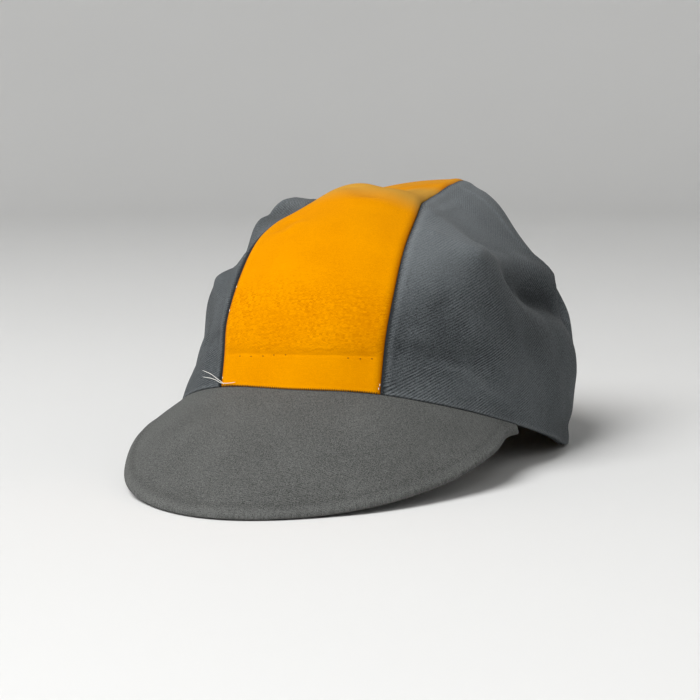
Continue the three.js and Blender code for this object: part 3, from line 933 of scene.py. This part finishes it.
threads = {
    "around": 8,  # corners of a thread's section
    "rings": 7,  # places along a short thread
    "askew": [0.13, 0.21, 0.97],  # a direction that no thread runs in
    "above": 0.008,  # how far off the cloth the rays start that find it
    "stripSize": (0.318, 0.034),  # the strip's length and half its width, roughly
    # needle holes: short dark rods that paint the shade inside each hole
    "holes": [(0.040, -0.71), (0.040, -0.55), (0.041, -0.39), (0.043, -0.25), (0.044, -0.10), (0.043, 0.63),
              (0.043, 0.76), (0.044, 0.88), (0.008, -0.95)],
    "hole": 0.00019,  # radius, as for the others
    "holeLength": 0.0006,
    "specks": [(0.146, -0.985), (0.110, -0.985), (0.007, 0.975), (0.012, 0.985), (0.012, -0.975)],
    "speck": 0.00014,
    "speckLength": 0.0011,
    # Knots of the loose strands: panel, at, across or down, height off the cloth
    "loose": [
        [(-1, 0.044, 0.74, 0.0018), (-1, 0.024, 0.62, 0.0008), (-1, 0.010, 0.30, 0.0006),
         (0, 0.005, -0.97, 0.0008), (0, 0.004, -0.86, 0.0005), (0, 0.006, -0.70, 0.0012)],
        [(-1, 0.052, 0.66, 0.0020), (-1, 0.030, 0.55, 0.0010), (-1, 0.012, 0.24, 0.0007),
         (0, 0.007, -0.96, 0.0007), (0, 0.003, -0.90, 0.0004)],
    ],
    "strand": 0.00012,
    "strandRings": 26,
    "strandRounds": 3,  # how often a strand's bends are evened out
    "teeth": 0.00083,  # between the stitches along the strip's hem
    "tooth": 0.00013,
    "toothRings": 5,
    "toothSpan": (-0.0003, 0.0007),  # from below the hem to above it
    "toothOut": 0.0002,
    "toothMargin": 0.001,  # from the strip's corners
    # hole: the colour of the painted shade in the needle holes
    "colours": {"hole": (88, 42, 12), "white": (225, 224, 218), "dark": (34, 34, 36)},
}


def threadPiece(name, paths, radius, material, slot):
    # Round threads, one to a path: rings square to the path, whose size is the radius times the
    # root of 1 less the sixth power of the share from the middle, so that both ends close in a point
    turn = np.linspace(0, 2 * math.pi, threads["around"] + 1)[:-1, None]
    places, faces, count = [], [], 0
    for path in paths:
        path = np.array(path, float)
        run = unit(np.gradient(path, axis=0))
        aside = unit(np.cross(run, threads["askew"]))
        lift = np.cross(run, aside)
        size = radius * np.sqrt(1 - np.linspace(-1, 1, len(path)) ** 6)
        ring = np.cos(turn) * aside[:, None] + np.sin(turn) * lift[:, None]
        rings = path[:, None] + along(ring, size[:, None] + 0 * turn[:, 0])
        places += [path[:1], rings[1:-1].reshape(-1, 3), path[-1:]]
        a = np.arange((len(path) - 2) * threads["around"]).reshape(-1, threads["around"]) + count + 1
        b = np.roll(a, -1, 1)
        last = a[-1, -1] + 1
        walls = [np.stack([a[:-1], b[:-1], b[1:]], -1), np.stack([a[:-1], b[1:], a[1:]], -1)]
        ends = [np.stack([0 * a[0] + count, b[0], a[0]], -1), np.stack([0 * a[0] + last, a[-1], b[-1]], -1)]
        faces += [part.reshape(-1, 3) for part in walls + ends]
        count = last + 1
    piece = meshFrom(name, np.concatenate(places), np.concatenate(faces))
    dressPiece(piece, material, slot)


def onCloth(tree, place, out, lift=0.0):
    # The finished cloth's surface at a place of its base shape
    hit = tree.ray_cast(Vector(place + threads["above"] * out), Vector(-out))[0]
    return np.array(hit or place) + lift * out


def shortThread(tree, at, across, way, length):
    # A short thread on the strip, lying along (1) or across (0) it
    stripLength, halfWidth = threads["stripSize"]
    steps = np.linspace(-0.5, 0.5, threads["rings"]) * length
    places = [(np.array(at + way * s / stripLength), across + (1 - way) * s / halfWidth) for s in steps]
    return [onCloth(tree, stripPoint(*place), stripOut(*place)) for place in places]


def makeThreads(panels):
    trees = [BVHTree.FromObject(piece, bpy.context.evaluated_depsgraph_get()) for piece in panels]
    # The needle holes' shade is painted with short dark rods
    hole = plainThread("needle_hole_shade", tone(*threads["colours"]["hole"]))
    white = plainThread("white_thread", tone(*threads["colours"]["white"]))
    dark = plainThread("dark_thread", tone(*threads["colours"]["dark"]))
    holes = [shortThread(trees[0], *spot, 0, threads["holeLength"]) for spot in threads["holes"]]
    threadPiece("needle_hole_shade", holes, threads["hole"], hole, "strip_cloth")
    specks = [shortThread(trees[0], *spot, 1, threads["speckLength"]) for spot in threads["specks"]]
    threadPiece("lint", specks, threads["speck"], white, "strip_cloth")
    strands = []
    for knots in threads["loose"]:
        spots = []
        for panel, at, other, lift in knots:
            at, other = np.array(at), np.array(other)
            base = sidePoint(at, other, panel) if panel else stripPoint(at, other)
            out = sideOut(at, other, panel) if panel else stripOut(at, other)
            spots.append(onCloth(trees[2 if panel else 0], base, out, lift))
        shares = np.linspace(0, len(spots) - 1, threads["strandRings"])
        path = np.stack([np.interp(shares, np.arange(len(spots)), axis) for axis in zip(*spots)], -1)
        for _ in range(threads["strandRounds"]):
            path[1:-1] = (path[:-2] + 2 * path[1:-1] + path[2:]) / 4
        strands.append(path)
    threadPiece("loose_threads", strands, threads["strand"], white, "side_cloth")
    wide = stripHalf(np.array(0.0))
    aside = np.arange(-wide + threads["toothMargin"], wide - threads["toothMargin"], threads["teeth"])
    angle = hemAngle(aside)
    foot = hemPoint(angle) + along(hemOut(angle), threads["toothOut"] + 0 * aside)
    rises = np.linspace(*threads["toothSpan"], threads["toothRings"])[:, None, None]
    teeth = (foot + rises * upward).transpose(1, 0, 2)
    threadPiece("hem_stitches", teeth, threads["tooth"], dark, "peak_cloth")
    print("threads made")


# Materials


class Value:
    # A socket that takes part in Python sums: each operator adds one Math node

    def __init__(self, maker, socket):
        self.maker = maker
        self.socket = socket

    def math(self, operation, *others):
        inputs = dict(enumerate((self, *others)))
        return self.maker.node("Math", {"operation": operation}, inputs)

    def __add__(self, other):
        return self.math("ADD", other)

    __radd__ = __add__

    def __mul__(self, other):
        return self.math("MULTIPLY", other)

    __rmul__ = __mul__

    def __sub__(self, other):
        return self.math("SUBTRACT", other)

    def __rsub__(self, other):
        return self.maker.node("Math", {"operation": "SUBTRACT"}, {0: other, 1: self})

    def sine(self):
        return self.math("SINE")

    def clamped(self):
        return self.maker.node("Clamp", {}, {0: self, 1: 0.0, 2: 1.0})


class Finish:
    # A material, its shader and the nodes behind it

    def __init__(self, name, sockets):
        self.material = bpy.data.materials.new(name)
        self.material.use_nodes = True
        self.tree = self.material.node_tree
        self.shader = self.tree.nodes["Principled BSDF"]
        for key, value in sockets.items():
            self.shader.inputs[key].default_value = value

    def node(self, kind, settings, inputs, output=0):
        made = self.tree.nodes.new("ShaderNode" + kind)
        for key, value in settings.items():
            setattr(made, key, value)
        for key, value in inputs.items():
            if isinstance(value, Value):
                self.tree.links.new(value.socket, made.inputs[key])
            else:
                made.inputs[key].default_value = value
        return Value(self, made.outputs[output])

    def attribute(self, name):
        return self.node("Attribute", {"attribute_name": name}, {}, 2)

    def cloth(self):
        return self.node("UVMap", {"uv_map": "cloth"}, {})

    def place(self):
        return self.node("TexCoord", {}, {}, 3)

    def apart(self, vector):
        parts = self.node("SeparateXYZ", {}, {0: vector})
        node = parts.socket.node
        return [Value(self, node.outputs[i]) for i in range(3)]

    def noise(self, vector, scale, detail=2.0, roughness=0.5):
        inputs = {"Vector": vector, "Scale": scale, "Detail": detail, "Roughness": roughness}
        return self.node("TexNoise", {}, inputs)

    def mix(self, factor, first, second):
        return self.node("Mix", {"data_type": "RGBA"}, {0: factor, 6: first, 7: second}, 2)

    def feed(self, key, value):
        self.tree.links.new(value.socket, self.shader.inputs[key])

    def bump(self, height, distance, strength=1.0):
        inputs = {"Strength": strength, "Distance": distance, "Height": height}
        self.feed("Normal", self.node("Bump", {}, inputs))


def tone(red, green, blue):
    # A screen colour of 0 to 255 as the light it stands for
    levels = np.array([red, green, blue]) / 255
    light = np.where(levels <= 0.04045, levels / 12.92, ((levels + 0.055) / 1.055) ** 2.4)
    return (*light.tolist(), 1.0)


# Looks of the cloths. pitch, angle, wander, depth and contrast: of the ribs, even and uneven: how
# much of them is regular and how much streaks, patch: how far they show in patches only,
# speckle, fleck and blotch: strength of the fine grain, the coarser one and the large stains.
# dark and light: the cloth's own colours, dull: a duller colour that paints grazing sheen
twill = {
    "strip": {
        "pitch": 0.00118, "angle": 24, "wander": 0.6, "depth": 0.00007, "contrast": 1.0,
        "even": 0.30, "uneven": 0.60, "patch": 0.4, "speckle": 0.3, "fleck": 0.08, "blotch": 0.4,
        "dark": tone(188, 110, 0), "light": tone(232, 155, 0), "dull": tone(190, 143, 58),
        "roughness": 0.9, "sheen": 0.02, "gloss": 0.0,
    },
    "side": {
        "pitch": 0.00094, "angle": 22, "wander": 0.7, "depth": 0.00012, "contrast": 0.60,
        "even": 0.85, "uneven": 0.30, "patch": 0.7, "speckle": 0.40, "fleck": 0.12, "blotch": 0.35,
        "dark": tone(38, 41, 43), "light": tone(116, 121, 124), "dull": tone(80, 82, 84),
        "roughness": 0.95, "sheen": 0.05, "gloss": 0.1,
    },
    "peak": {
        "pitch": 0.00092, "angle": 5, "wander": 0.2, "depth": 0.00009, "contrast": 0.50,
        "even": 0.40, "uneven": 0.60, "patch": 0.3, "speckle": 0.90, "fleck": 0.22, "blotch": 0.3,
        "dark": tone(50, 51, 50), "light": tone(108, 109, 107), "dull": tone(80, 80, 78),
        "roughness": 0.95, "sheen": 0.05, "gloss": 0.1,
    },
    "band": {
        "pitch": 0.00070, "angle": 0, "wander": 0.3, "depth": 0.00012, "contrast": 0.4,
        "even": 0.80, "uneven": 0.30, "patch": 0.0, "speckle": 0.2, "fleck": 0.10, "blotch": 0.3,
        "dark": tone(48, 51, 54), "light": tone(74, 78, 82), "dull": tone(60, 62, 64),
        "roughness": 0.95, "sheen": 0.05, "gloss": 0.1,
    },
}
# Noises that the cloths share: scale, detail and roughness
grain = {
    "bend": (60.0, 1.0),
    "streak": (1.0, 2.0, 0.6),
    "thread": (2600.0, 2.0, 0.7),
    "fleck": (900.0, 2.0, 0.6),
    "blotch": (55.0, 3.0, 0.6),
    "patch": (75.0, 2.0),
}
grainGain = {"streak": 3, "yarn": 4, "patch": 4}  # how far the noises are drawn out
streakScale = (350.0, 1250.0)  # along the ribs and across them
patchFrom = 0.38  # noise above which the ribs begin to show


def twillCloth(name, look):
    # Cotton twill: a sine across its slanting ribs, bent a little and shown in patches by noise,
    # with threads of different strength, lighter or darker where the tint says so, mostly painted
    # light and shade, and duller where the dull attribute paints grazing sheen
    sheen = {"Sheen Weight": look["sheen"], "Sheen Roughness": 0.4, "Specular IOR Level": look["gloss"]}
    made = Finish(name, sheen)
    cloth = made.cloth()
    u, v, _ = made.apart(cloth)
    a = math.radians(look["angle"])
    bend = made.noise(cloth, *grain["bend"]) * look["wander"]
    across = v * math.cos(a) - u * math.sin(a)
    length = u * math.cos(a) + v * math.sin(a)
    drawn = made.node("CombineXYZ", {}, {0: length * streakScale[0], 1: across * streakScale[1]})
    streak = made.noise(drawn, *grain["streak"]) - 0.5
    even = ((across * (1 / look["pitch"]) + bend) * (2 * math.pi)).sine() * 0.5
    rib = even * look["even"] + streak * (grainGain["streak"] * look["uneven"])
    thread = made.noise(cloth, *grain["thread"]) - 0.5
    fleck = made.noise(cloth, *grain["fleck"]) - 0.5
    blotch = made.noise(made.place(), *grain["blotch"]) - 0.5
    patch = ((made.noise(made.place(), *grain["patch"]) - patchFrom) * grainGain["patch"]).clamped()
    woven = made.attribute("weave") * (patch * look["patch"] + (1 - look["patch"]))
    yarn = thread * (grainGain["yarn"] * look["speckle"]) + fleck * (grainGain["yarn"] * look["fleck"])
    # The tint paints light and shade, with some fading, into the colour
    shade = woven * rib * look["contrast"] + yarn + blotch * look["blotch"] + made.attribute("tint") + 0.5
    fresh = made.mix(shade.clamped(), look["dark"], look["light"])
    # Painted grazing sheen: towards the dull colour where the dull attribute says so
    made.feed("Base Color", made.mix(made.attribute("dull"), fresh, look["dull"]))
    made.feed("Roughness", rib * -0.12 + look["roughness"])
    made.bump(woven * rib + thread * 0.8 + fleck, look["depth"], 0.9)
    return made.material


def plainThread(name, colour):
    return Finish(name, {"Base Color": colour, "Roughness": 0.8, "Specular IOR Level": 0.2}).material


def plainFloor(name):
    made = Finish(name, {"Roughness": 0.9, "Specular IOR Level": 0.1})
    mottle = made.noise(made.place(), 3.0, 2.0)
    made.feed("Base Color", made.mix(mottle, tone(222, 222, 221), tone(226, 226, 225)))
    return made.material


# The cap's pieces

clothFinish = {
    "strip": twillCloth("yellow_twill", twill["strip"]),
    "side": twillCloth("charcoal_twill", twill["side"]),
    "peak": twillCloth("grey_twill", twill["peak"]),
    "band": twillCloth("cotton_tape", twill["band"]),
}
panels = [
    makeStrip(clothFinish["strip"]),
    makeSide("side_cloth_left", 1, clothFinish["side"], "side_panel_left"),
    makeSide("side_cloth_right", -1, clothFinish["side"], "side_panel_right"),
]
makePeak(clothFinish["peak"])
makeBand(panels, clothFinish["band"])
makeThreads(panels)
print("cap made")


# Studio

studio = {
    "rings": [0.0, 0.4, 0.9],  # of the flat floor
    "flat": 1.6,  # where the floor begins to rise
    "curve": 1.0,
    "wall": 3.0,
    "steps": 17,  # of the curve
    "sectors": 96,
    "below": 0.0001,  # the cap's floor height
    "lamps": {
        "key": {"place": (-0.58, -1.30, 1.80), "size": 1.6, "power": 61.0},
        "fill": {"place": (0.9, -1.6, 1.5), "size": 0.8, "power": 4.0},
    },
    "aim": (0, 0, 0.05),
    "sky": 0.06,
}


def makeFloor():
    # A round cove: flat, then a quarter circle up to a wall, turned about the vertical
    flat, curve = studio["flat"], studio["curve"]
    turn = np.linspace(0, math.pi / 2, studio["steps"])
    radius = np.concatenate([studio["rings"], flat + curve * np.sin(turn), [flat + curve]])
    height = np.concatenate([0 * np.array(studio["rings"]), curve * (1 - np.cos(turn)), [studio["wall"]]])
    radius, height = radius[:, None], height[:, None] - studio["below"]
    around = np.linspace(0, 2 * math.pi, studio["sectors"] + 1)[:-1]
    points = vec(radius * np.cos(around), radius * np.sin(around), height)
    rows, columns = points.shape[:2]
    index = np.arange(rows * columns).reshape(rows, columns)
    quads = np.stack([index[:-1], index[1:], np.roll(index[1:], -1, 1), np.roll(index[:-1], -1, 1)], -1)
    floor = meshFrom("floor", points.reshape(-1, 3), quads.reshape(-1, 4))
    floor.data.materials.append(plainFloor("pale_paper"))


def addLight(name, place, size, power):
    data = bpy.data.lights.new(name, "AREA")
    data.shape = "DISK"
    data.size = size
    data.energy = power
    lamp = bpy.data.objects.new(name, data)
    bpy.context.scene.collection.objects.link(lamp)
    back = Vector(place) - Vector(studio["aim"])
    lamp.matrix_world = Matrix.Translation(place) @ back.to_track_quat("Z", "Y").to_matrix().to_4x4()


def addLights():
    for name, lamp in studio["lamps"].items():
        addLight(name, **lamp)
    world = bpy.data.worlds.new("studio")
    world.use_nodes = True
    world.node_tree.nodes["Background"].inputs["Color"].default_value = (1, 1, 1, 1)
    world.node_tree.nodes["Background"].inputs["Strength"].default_value = studio["sky"]
    bpy.context.scene.world = world
    bpy.context.scene.view_settings.view_transform = "Standard"
    print("studio lit")


makeFloor()
addLights()
